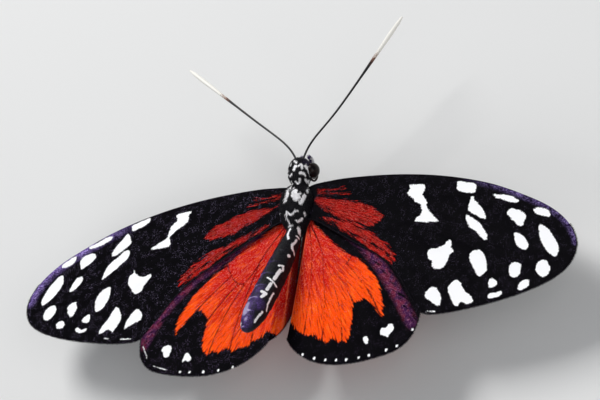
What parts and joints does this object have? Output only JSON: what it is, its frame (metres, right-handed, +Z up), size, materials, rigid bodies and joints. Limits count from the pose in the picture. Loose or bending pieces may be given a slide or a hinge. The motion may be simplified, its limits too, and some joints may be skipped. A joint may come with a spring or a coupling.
{
  "type": "longwing butterfly",
  "caption": "Life-size still model of a longwing butterfly standing with its narrow, spotted wings spread flat and its abdomen raised.",
  "frame": {"origin": "on the floor, below the middle of the bounding box", "axes": "+X towards the animal's left wing tip, -Y the way the head looks, +Z up"},
  "size_m": [0.0904, 0.0482, 0.0155],
  "materials": {
    "body": "black scales and short hair with small white marks",
    "eye": "dark, glossy compound eye",
    "proboscis": "dark brown, satin, finely ringed",
    "antenna": "black, finely ringed, cream-white towards the tip",
    "forewing": "matte black scales with white spots and deep red streaks near the body",
    "hindwing": "matte orange-red scales inside a broad black edge with white dots",
    "leg": "black, satin"
  },
  "bodies": {
    "root": {"head": "body", "thorax": "body", "abdomen": "body", "palp_left": "body", "palp_right": "body", "eye_left": "eye", "eye_right": "eye", "proboscis": "proboscis", "antenna_left": "antenna", "antenna_right": "antenna", "forewing_left": "forewing", "forewing_right": "forewing", "hindwing_left": "hindwing", "hindwing_right": "hindwing", "leg_fore_left": "leg", "leg_fore_right": "leg", "leg_mid_left": "leg", "leg_mid_right": "leg", "leg_hind_left": "leg", "leg_hind_right": "leg"}
  },
  "joints": []
}
